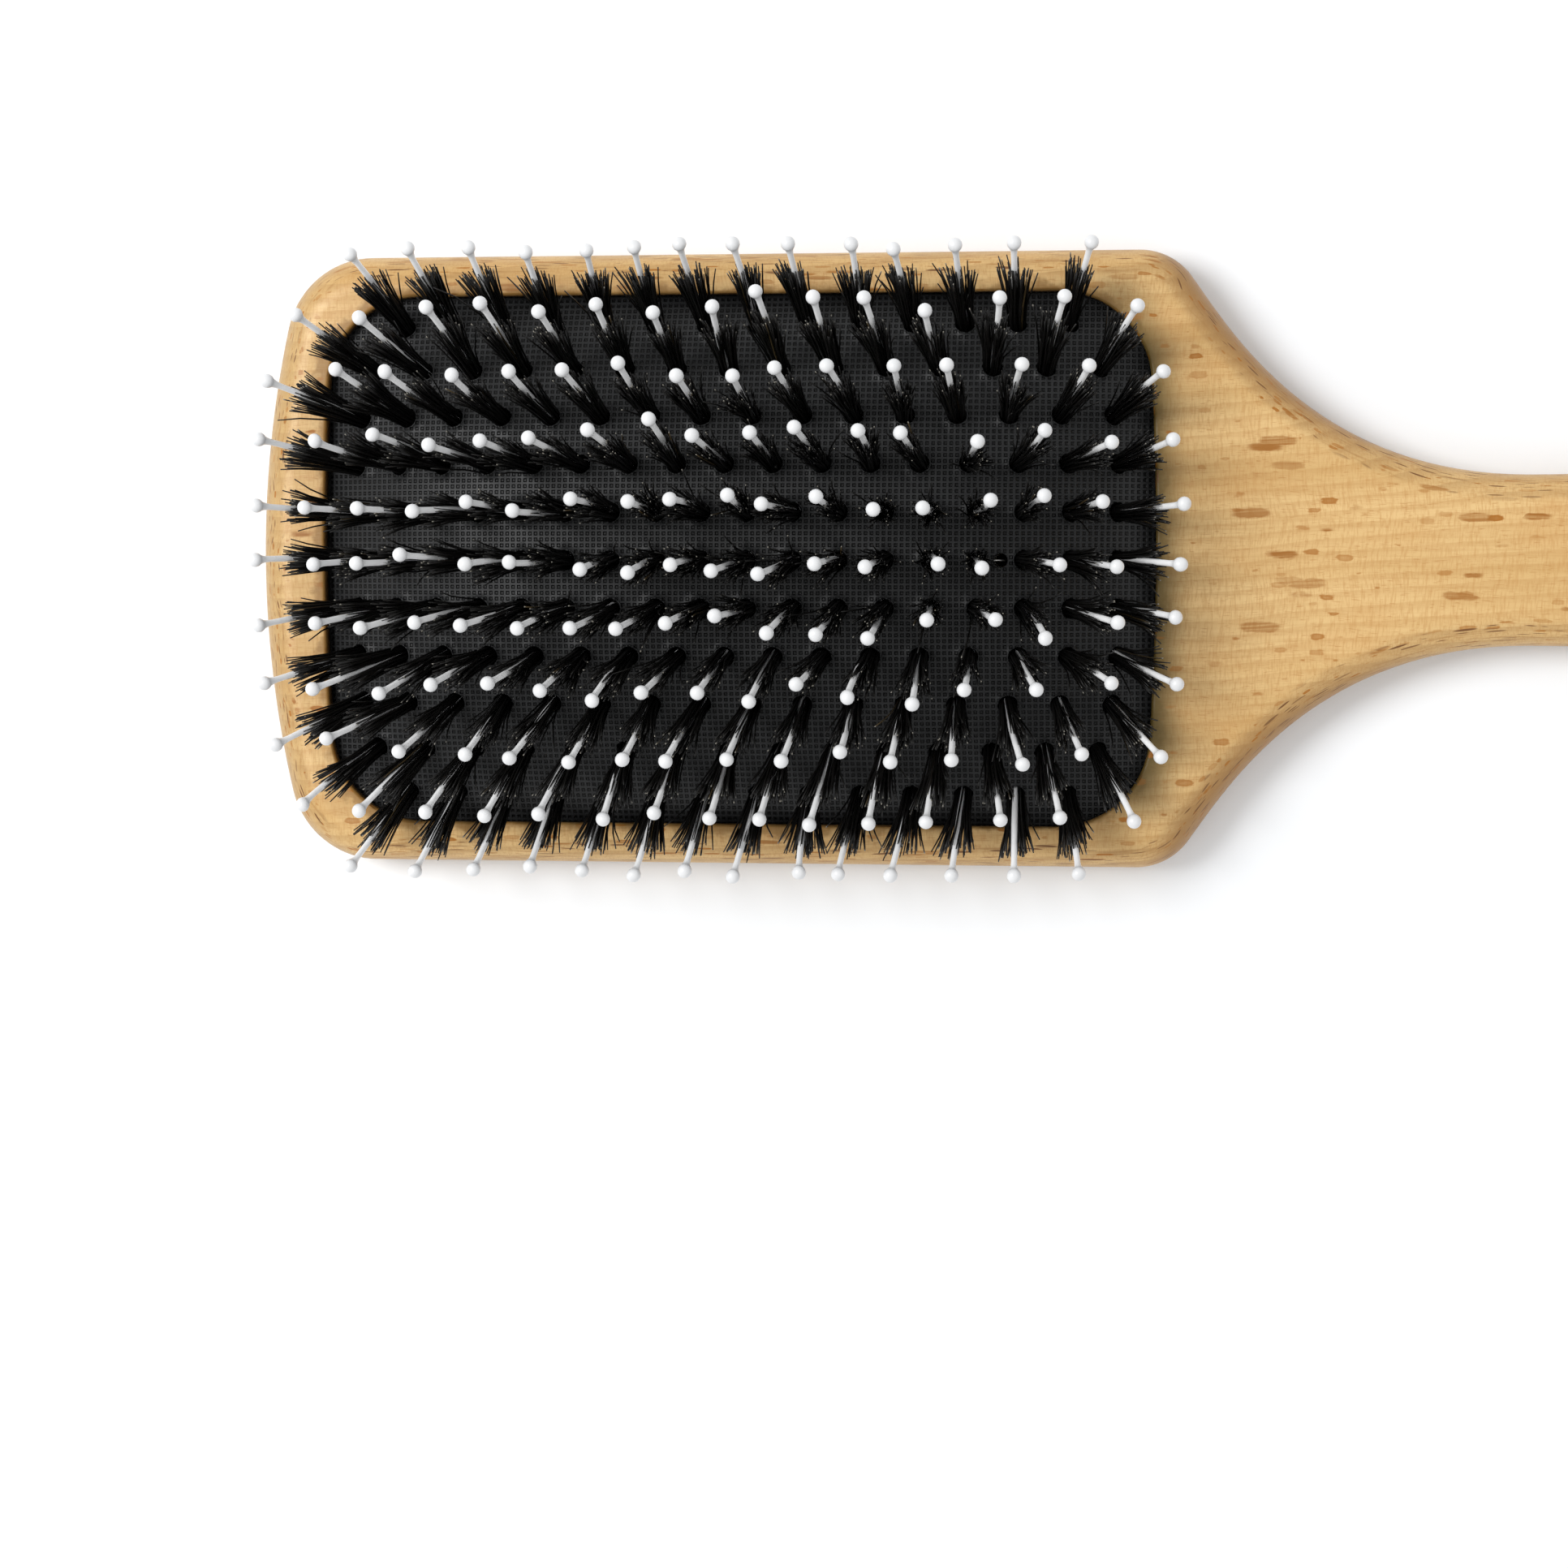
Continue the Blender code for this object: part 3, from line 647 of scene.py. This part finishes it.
def paddle_outline():
    quarter = bowed_end(HEAD_END, HEAD_END_BOW, HEAD_HALF_WIDTH, HEAD_CORNER,
                        HEAD_CORNER_STEPS, HEAD_END_STEPS)
    head = [(-x, y) for x, y in quarter]
    centre = (SHOULDER_START, HEAD_HALF_WIDTH - SHOULDER_RADIUS)
    shoulder = arc(centre, SHOULDER_RADIUS, math.pi / 2, math.pi / 2 - SHOULDER_SWEEP,
                   SHOULDER_STEPS)
    side = straight(head[-1], shoulder[0], HEAD_SIDE_STEPS)
    start = shoulder[-1]
    slope = (math.cos(SHOULDER_SWEEP), -math.sin(SHOULDER_SWEEP))
    handle = (start[0] + SHOULDER_HANDLE * slope[0], start[1] + SHOULDER_HANDLE * slope[1])
    neck = (NECK_PLACE, NECK_HALF_WIDTH)
    swell = (SWELL_PLACE, SWELL_HALF_WIDTH)
    sweep = bezier(start, handle, (NECK_PLACE - NECK_HANDLES[0], NECK_HALF_WIDTH), neck,
                   NECK_STEPS)
    grip = bezier(neck, (NECK_PLACE + NECK_HANDLES[1], NECK_HALF_WIDTH),
                  (SWELL_PLACE - SWELL_HANDLE, SWELL_HALF_WIDTH), swell, GRIP_STEPS)
    tip = LENGTH - HEAD_END - SWELL_PLACE
    end = []
    for i in range(1, TIP_STEPS + 1):
        angle = math.pi / 2 * i / TIP_STEPS
        along = math.sin(angle) ** (2 / END_POWER)
        across = max(math.cos(angle), 0.0) ** (2 / END_POWER)
        end.append((SWELL_PLACE + tip * along, SWELL_HALF_WIDTH * across))
    end[-1] = (SWELL_PLACE + tip, 0.0)
    return both_sides(head + side + shoulder + sweep + grip + end)


def dome(x, y):
    """Height of the rubber's top face above the floor."""
    out_x = min(abs(x) / DOME_HALF_LENGTH, 1.0)
    out_y = min(abs(y) / DOME_HALF_WIDTH, 1.0)
    rise = DOME_RISE * (1 - out_x ** DOME_POWER_X) * (1 - out_y ** DOME_POWER_Y)
    return PAD_EDGE_HEIGHT + max(rise - CORNER_DROP * (out_x * out_y) ** CORNER_POWER, 0.0)


def lean(x, y):
    """Direction of a tuft or pin that stands at a place on the pad."""
    across = LEAN_ACROSS * (abs(y) / ROW_PLACES[-1]) ** LEAN_ACROSS_POWER
    along = LEAN_ALONG * min(abs(x) / LEAN_ALONG_REACH, 1.0) ** LEAN_ALONG_POWER
    return Vector((math.copysign(along, x), math.copysign(across, y), 1.0))


def standing(x, y, tilt=(0.0, 0.0)):
    """Matrix that stands a shape made along +Z on the dome, along the lean there."""
    up = (lean(x, y) + Vector((tilt[0], tilt[1], 0.0))).normalized()
    side = (Vector((1, 0, 0)) - up * up.x).normalized()
    turn = Matrix((side, up.cross(side), up)).transposed().to_4x4()
    return Matrix.Translation((x, y, dome(x, y))) @ turn


def row_places(index):
    """Centre line and the places along X of a row, numbered outwards from the middle one."""
    step = abs(index)
    half_span = ROW_HALF_SPANS[step]
    count = MIDDLE_ROW_COUNT - max(0, step - 1)
    places = [half_span * (2 * i / (count - 1) - 1) for i in range(count)]
    return math.copysign(ROW_PLACES[step], index), places


# Mesh building


class Shell:
    """Vertices and faces in pad-centred metres, and the mesh they end up as."""

    def __init__(self):
        self.verts = []
        self.faces = []

    def ring(self, points, height):
        """Adds a ring of points at one height, or at a height for each."""
        first = len(self.verts)
        heights = height if isinstance(height, list) else [height] * len(points)
        self.verts += [(p[0], p[1], z) for p, z in zip(points, heights)]
        return list(range(first, len(self.verts)))

    def point(self, x, y, z):
        self.verts.append((x, y, z))
        return len(self.verts) - 1

    def bridge(self, a, b):
        """Adds four-cornered faces between two rings of equal count."""
        count = len(a)
        self.faces += [(a[i], a[(i + 1) % count], b[(i + 1) % count], b[i]) for i in range(count)]

    def fill(self, rings, keep, loose=()):
        """Triangles between rings and loose vertices, seen from above, where keep says so."""
        members = [i for ring in rings for i in ring] + list(loose)
        flat = [Vector((self.verts[i][0] * MM, self.verts[i][1] * MM)) for i in members]
        edges, first = [], 0
        for ring in rings:
            count = len(ring)
            edges += [(first + i, first + (i + 1) % count) for i in range(count)]
            first += count
        made = geometry.delaunay_2d_cdt(flat, edges, [], 0, FILL_TOLERANCE)
        origin = [members[source[0]] for source in made[3]]
        for face in made[2]:
            corners = tuple(origin[i] for i in face)
            if keep(corners):
                self.faces.append(corners)

    def piece(self, name, mat):
        mesh = bpy.data.meshes.new(name)
        mesh.from_pydata([(x + PAD_X, y, z) for x, y, z in self.verts], [], self.faces)
        bm = bmesh.new()
        bm.from_mesh(mesh)
        bmesh.ops.recalc_face_normals(bm, faces=bm.faces)
        bm.to_mesh(mesh)
        bm.free()
        return add_piece(name, mesh, mat)


def add_piece(name, mesh, mat):
    mesh.materials.append(mat)
    mesh.shade_smooth()
    ob = bpy.data.objects.new(name, mesh)
    bpy.context.scene.collection.objects.link(ob)
    return ob


def set_vectors(mesh, name, values):
    """Stores a vector for each vertex, for a material to read."""
    stored = mesh.attributes.new(name, "FLOAT_VECTOR", "POINT")
    stored.data.foreach_set("vector", values.astype(np.float32).reshape(-1))


def inset(points, amount):
    """An outline moved inwards along its normals."""
    at = np.array(points)
    along = np.roll(at, -1, 0) - np.roll(at, 1, 0)
    along /= np.linalg.norm(along, axis=1)[:, None]
    area = np.sum(at[:, 0] * np.roll(at[:, 1], -1) - np.roll(at[:, 0], -1) * at[:, 1])
    inward = np.stack((-along[:, 1], along[:, 0]), 1) * (1.0 if area > 0 else -1.0)
    return [tuple(p) for p in at + amount * inward]


def within(points, x, y):
    """Whether a place is inside a closed outline."""
    inside = False
    for (ax, ay), (bx, by) in zip(points, points[1:] + points[:1]):
        if (ay > y) != (by > y) and x < (bx - ax) * (y - ay) / (by - ay) + ax:
            inside = not inside
    return inside


# Pieces


def rounding(radius, steps):
    """Depths and heights of a rounded edge's sections, from the flat face out to the side."""
    angles = [math.pi / 2 * i / steps for i in range(steps + 1)]
    return [(radius * (1 - math.sin(a)), radius * (1 - math.cos(a))) for a in angles]


def make_paddle(mat):
    """The wooden paddle, with its recess, the groove in the recess's wall and the lifted handle."""
    shell = Shell()
    outline = paddle_outline()
    sections = rounding(EDGE_ROUND, EDGE_STEPS)
    sections += [(depth, WOOD_THICKNESS - height) for depth, height in reversed(sections)]
    flat_inset = EDGE_ROUND + SUPPORT
    sections = [(flat_inset, 0.0)] + sections + [(flat_inset, WOOD_THICKNESS)]
    rings = [shell.ring(inset(outline, depth), height) for depth, height in sections]
    for a, b in zip(rings, rings[1:]):
        shell.bridge(a, b)
    face_outline = inset(outline, flat_inset)
    rim = recess_outline(RECESS_LIP + SUPPORT)
    recess = [shell.ring(rim, WOOD_THICKNESS)]
    for depth, height in rounding(RECESS_LIP, LIP_STEPS):
        recess.append(shell.ring(recess_outline(depth), WOOD_THICKNESS - height))
    wall, groove = recess_outline(), recess_outline(GROOVE_DEPTH)
    for points, height in ((wall, GROOVE_HIGH), (groove, GROOVE_HIGH), (groove, GROOVE_LOW),
                           (wall, GROOVE_LOW), (wall, RECESS_FLOOR)):
        recess.append(shell.ring(points, height))
    for a, b in zip(recess, recess[1:]):
        shell.bridge(a, b)

    def middle(corners):
        return [sum(shell.verts[i][k] for i in corners) / 3 for k in (0, 1)]

    opening = set(recess[0])
    shell.fill([rings[-1], recess[0]],
               lambda c: not opening.issuperset(c) and within(face_outline, *middle(c)))
    shell.fill([recess[-1]], lambda c: True)
    loose = []
    clear = inset(outline, flat_inset + LIFT_GRID_CLEAR)
    for i in range(-1, int((LIFT_END - LIFT_START) / LIFT_GRID) + 2):
        for j in range(-LIFT_GRID_ROWS, LIFT_GRID_ROWS + 1):
            x, y = LIFT_START + i * LIFT_GRID, j * LIFT_GRID
            if within(clear, x, y):
                loose.append(shell.point(x, y, 0.0))
    shell.fill([rings[0]], lambda c: within(face_outline, *middle(c)), loose)
    for i, (x, y, z) in enumerate(shell.verts):
        share = min(max((x - LIFT_START) / (LIFT_END - LIFT_START), 0.0), 1.0)
        share = share * share * (3 - 2 * share)
        shell.verts[i] = (x, y, z + HANDLE_LIFT * share * (1 - z / WOOD_THICKNESS))
    paddle = shell.piece("wood_paddle", mat)
    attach(paddle, "paddle")
    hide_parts("beech_paddle")


def make_pad(mat, roots):
    """The rubber sheet: a dome with a raised lip round each tuft's hole, and its vent."""
    shell = Shell()
    outer = recess_outline(BEAD_OUTSIDE)
    loops, inner_of = [shell.ring(outer, PAD_EDGE_HEIGHT)], {}
    under = {i: PAD_EDGE_HEIGHT for i in loops[0]}
    openings = [(x, y, HOLE_RADIUS, LIP) for x, y in roots]
    openings.append((VENT_PLACE, 0.0, VENT_RADIUS, VENT_LIP))
    rims = []
    for hole, (x, y, radius, lip) in enumerate(openings):
        stand = standing(x, y)
        for step, (out, raised) in enumerate(lip):
            points, heights = [], []
            for k in range(HOLE_POINTS):
                angle = 2 * math.pi * k / HOLE_POINTS
                reach = radius + out
                p = stand @ Vector((reach * math.cos(angle), reach * math.sin(angle), 0.0))
                points.append((p.x, p.y))
                heights.append(dome(p.x, p.y) + raised)
            ring = shell.ring(points, heights)
            loops.append(ring)
            under.update({i: z - raised for i, z in zip(ring, heights)})
            if step == 0:
                rims.append(ring)
                inner_of.update({i: hole for i in ring})
    loose = []
    places = np.array([(x, y) for x, y, radius, lip in openings])
    bound = recess_outline(PAD_GRID_BOUND * BEAD_OUTSIDE)
    clear = HOLE_RADIUS + PAD_GRID_CLEAR
    half_x, half_y = int(RECESS_END / PAD_GRID) + 1, int(RECESS_HALF_WIDTH / PAD_GRID) + 1
    for i in range(-half_x, half_x + 1):
        for j in range(-half_y, half_y + 1):
            x = (i + 0.5 * (j % 2)) * PAD_GRID
            y = j * PAD_GRID
            far = np.min(np.hypot(places[:, 0] - x, places[:, 1] - y)) > clear
            if far and within(bound, x, y):
                loose.append(shell.point(x, y, dome(x, y)))
                under[loose[-1]] = dome(x, y)

    def outside_holes(corners):
        a, b, c = (inner_of.get(i) for i in corners)
        return a is None or a != b or b != c

    shell.fill(loops, outside_holes, loose)
    count = len(shell.verts)
    for i in range(count):
        x, y, _ = shell.verts[i]
        shell.point(x, y, under[i] - PAD_THICKNESS)
    shell.faces += [tuple(i + count for i in reversed(face)) for face in shell.faces]
    for ring in [loops[0]] + rims:
        shell.bridge(ring, [i + count for i in ring])
    pad = shell.piece("rubber_membrane", mat)
    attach(pad, "paddle")
    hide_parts("rubber_cushion")
    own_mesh(pad)


def usual_tilt(x, y):
    """How a tuft and its pin stand off the lean of the place: a common tilt and a chance one."""
    calm = 1 - (abs(y) / ROW_PLACES[-1]) ** 2
    middle = (MIDDLE_TILT[0] + MIDDLE_TILT_CHANGE * x / LEAN_ALONG_REACH, MIDDLE_TILT[1])
    outer = (OUTER_TILT[0] + OUTER_TILT_CHANGE * x / LEAN_ALONG_REACH, OUTER_TILT[1])
    return [calm * a + (1 - calm) * b + rng.normal(0, PLACE_TILT_SPREAD)
            for a, b in zip(middle, outer)]


def tuft_strands(x, y, tilt):
    """The bristles of one tuft, as an array of knots, with a tone for each bristle."""
    count = BRISTLES + int(rng.integers(-BRISTLES_SPREAD, BRISTLES_SPREAD + 1))
    radius = TUFT_ROOT_RADIUS * np.sqrt(rng.uniform(TUFT_CORE, 1.0, count))
    angle = rng.uniform(0, 2 * math.pi, count)
    root = np.stack((radius * np.cos(angle), radius * np.sin(angle)), 1)
    flare = rng.normal(1.0, FLARE_SPREAD, count)[:, None] * TUFT_TIP_RADIUS / TUFT_ROOT_RADIUS
    tip = root * flare + rng.normal(0, TIP_SPREAD, (count, 2))
    stray = rng.random(count) < STRAY_SHARE
    tip[stray] *= rng.uniform(*STRAY_REACH, (int(stray.sum()), 1))
    length = BRISTLE_LENGTH * rng.normal(1.0, BRISTLE_LENGTH_SPREAD, count)
    length[stray] *= rng.uniform(*STRAY_LENGTH, int(stray.sum()))
    stand = np.array(standing(x, y, tilt + rng.normal(0, TUFT_TILT_SPREAD, 2)))
    out = (stand[:3, :3].T @ np.array(lean(x, y) * Vector((1.0, 1.0, 0.0))))[:2]
    slope = np.linalg.norm(out)
    fan = out / max(slope, TINY)
    tip -= (tip @ fan)[:, None] * fan * min(slope, FAN_LIMIT) * FAN_SHARE
    knots = np.zeros((count, len(BRISTLE_KNOTS), 3))
    for k, t in enumerate(BRISTLE_KNOTS):
        bend = (1 - BRISTLE_CURVE) * t + BRISTLE_CURVE * t * abs(t)
        knots[:, k, :2] = root + (tip - root) * bend
        knots[:, k, 2] = length * t
    knots[:, 1:3, :2] += rng.normal(0, KNOT_SPREAD, (count, 2, 2))
    return knots @ stand[:3, :3].T + stand[:3, 3], rng.random(count)


def strands_mesh(name, knots, tones):
    """Three-sided tapering bristles round arrays of knots."""
    count, rings = knots.shape[:2]
    along = knots[:, -1] - knots[:, 0]
    along /= np.linalg.norm(along, axis=1)[:, None]
    side = np.cross(along, np.array(NO_BRISTLE))
    side /= np.linalg.norm(side, axis=1)[:, None]
    other = np.cross(along, side)
    spin = rng.uniform(0, 2 * math.pi, count)
    corners = []
    for k in range(3):
        angle = spin + 2 * math.pi * k / 3
        corners.append(np.cos(angle)[:, None] * side + np.sin(angle)[:, None] * other)
    corners = np.stack(corners, 1)
    radii = np.array(BRISTLE_RADII)[None, :, None, None]
    verts = (knots[:, :, None, :] + corners[:, None, :, :] * radii).reshape(-1, 3)
    per = rings * 3
    faces = []
    for b in range(count):
        base = b * per
        for r in range(rings - 1):
            low, high = base + 3 * r, base + 3 * r + 3
            faces += [(low + k, low + (k + 1) % 3, high + (k + 1) % 3, high + k)
                      for k in range(3)]
        faces.append((base + 2, base + 1, base))
        faces.append((base + per - 3, base + per - 2, base + per - 1))
    mesh = bpy.data.meshes.new(name)
    mesh.from_pydata((verts + np.array((PAD_X, 0, 0))).tolist(), [], faces)
    values = np.zeros((count, rings, 3, 3))
    values[..., 0] = np.maximum(np.array(BRISTLE_KNOTS), 0.0)[None, :, None]
    values[..., 1] = tones[:, None, None]
    set_vectors(mesh, "strand", values)
    return mesh


def pin_profile():
    """Radius and height of a pin, from its foot behind the rubber to the top of its ball."""
    neck = [(radius, PIN_LENGTH - drop) for radius, drop in PIN_NECK]
    ball = []
    for degrees in PIN_BALL_DEGREES:
        angle = math.radians(degrees)
        ball.append((PIN_BALL_RADIUS * math.cos(angle),
                     PIN_LENGTH + PIN_BALL_RADIUS * math.sin(angle)))
    return [*PIN_FOOT, *neck, *ball, (0.0, PIN_LENGTH + PIN_BALL_RADIUS)]


def add_turned(verts, faces, profile, stand, sides, bow=(0.0, 0.0)):
    """Adds a turned shape along a matrix's Z, closed at both ends and bowed sideways.

    Returns how far along the shape each new vertex is.
    """
    first = len(verts)
    top = profile[-1][1]
    for radius, height in profile[1:-1]:
        share = max(height, 0.0) / top
        for k in range(sides):
            angle = 2 * math.pi * k / sides
            point = Vector((radius * math.cos(angle) + bow[0] * share * (1 - share),
                            radius * math.sin(angle) + bow[1] * share * (1 - share), height))
            verts.append(tuple(stand @ point))
    rings = len(profile) - 2
    verts.append(tuple(stand @ Vector((0.0, 0.0, profile[0][1]))))
    verts.append(tuple(stand @ Vector((0.0, 0.0, top))))
    low, high = len(verts) - 2, len(verts) - 1
    for r in range(rings - 1):
        a, b = first + r * sides, first + (r + 1) * sides
        faces += [(a + k, a + (k + 1) % sides, b + (k + 1) % sides, b + k)
                  for k in range(sides)]
    last = first + (rings - 1) * sides
    for k in range(sides):
        faces.append((low, first + (k + 1) % sides, first + k))
        faces.append((high, last + k, last + (k + 1) % sides))
    return [height / top for radius, height in profile[1:-1] for k in range(sides)] + [0.0, 1.0]


def make_wire(name, places, y, mat):
    """The wire that runs under the folds of a row's tufts and up to the rubber between them."""
    curve = bpy.data.curves.new(name, "CURVE")
    curve.dimensions = "3D"
    curve.bevel_depth = WIRE_RADIUS
    curve.bevel_resolution = 2
    curve.use_fill_caps = True
    step = (places[1] - places[0]) / WIRE_STEPS
    count = WIRE_STEPS * (len(places) - 1) + 1
    spline = curve.splines.new("POLY")
    spline.points.add(count - 1)
    for i, point in enumerate(spline.points):
        x = places[0] + i * step
        dip = 0.5 + 0.5 * math.cos(2 * math.pi * i / WIRE_STEPS)
        drop = WIRE_HIGH + (WIRE_LOW - WIRE_HIGH) * dip
        place = standing(x, y) @ Vector((0.0, 0.0, -drop))
        point.co = (place.x + PAD_X, place.y, place.z, 1.0)
    ob = bpy.data.objects.new(name, curve)
    bpy.context.scene.collection.objects.link(ob)
    graph = bpy.context.evaluated_depsgraph_get()
    mesh = bpy.data.meshes.new_from_object(ob.evaluated_get(graph))
    bpy.data.objects.remove(ob)
    mesh.name = name
    mesh.materials.clear()
    return add_piece(name, mesh, mat)


def make_row(index, bristle, nylon, steel):
    """A row of tufts and pins. The paddle holds the outer rows, and the pad carries the others."""
    y, places = row_places(index)
    label = f"{index + OUTER_ROW + 1:02d}"
    holder = "paddle" if abs(index) == OUTER_ROW else "cushion_core"
    knots, tones, along = [], [], []
    pins, folds = Shell(), Shell()
    for x in places:
        tilt = usual_tilt(x, y)
        strands, tone = tuft_strands(x, y, tilt)
        knots.append(strands)
        tones.append(tone)
        stand = standing(x, y + PIN_SHIFT, tilt + rng.normal(0, PIN_TILT_SPREAD, 2))
        along += add_turned(pins.verts, pins.faces, pin_profile(), stand, PIN_SIDES,
                            tuple(rng.normal(0, PIN_BOW_SPREAD, 2)))
        add_turned(folds.verts, folds.faces, FOLD_PROFILE, standing(x, y), FOLD_SIDES)
    name = f"bristles_{label}"
    hair = strands_mesh(name, np.concatenate(knots), np.concatenate(tones))
    tuft_row = add_piece(name, hair, bristle)
    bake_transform(tuft_row)
    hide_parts(f"bristle_row_{label}")
    fold_row = folds.piece(f"tuft_folds_{label}", bristle)
    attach(fold_row, holder)
    wire = make_wire(f"drawing_wire_{label}", places, y, steel)
    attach(wire, holder)
    pin_row = pins.piece(f"pins_{label}", nylon)
    set_vectors(pin_row.data, "along", np.array(along)[:, None] * np.array((1.0, 0.0, 0.0)))
    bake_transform(pin_row)
    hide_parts(f"pin_row_{label}")


def build():
    make_camera()
    make_studio()
    make_paddle(beech_look())
    roots = []
    for index in ROWS:
        y, places = row_places(index)
        roots += [(x, y) for x in places]
    make_pad(rubber_look(), roots)
    mats = (bristle_look(), nylon_look(), wire_look())
    for index in ROWS:
        make_row(index, *mats)
    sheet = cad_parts["backing_sheet"]
    sheet.data.materials.clear()
    sheet.data.materials.append(canvas_look())


build()
bpy.context.view_layer.update()
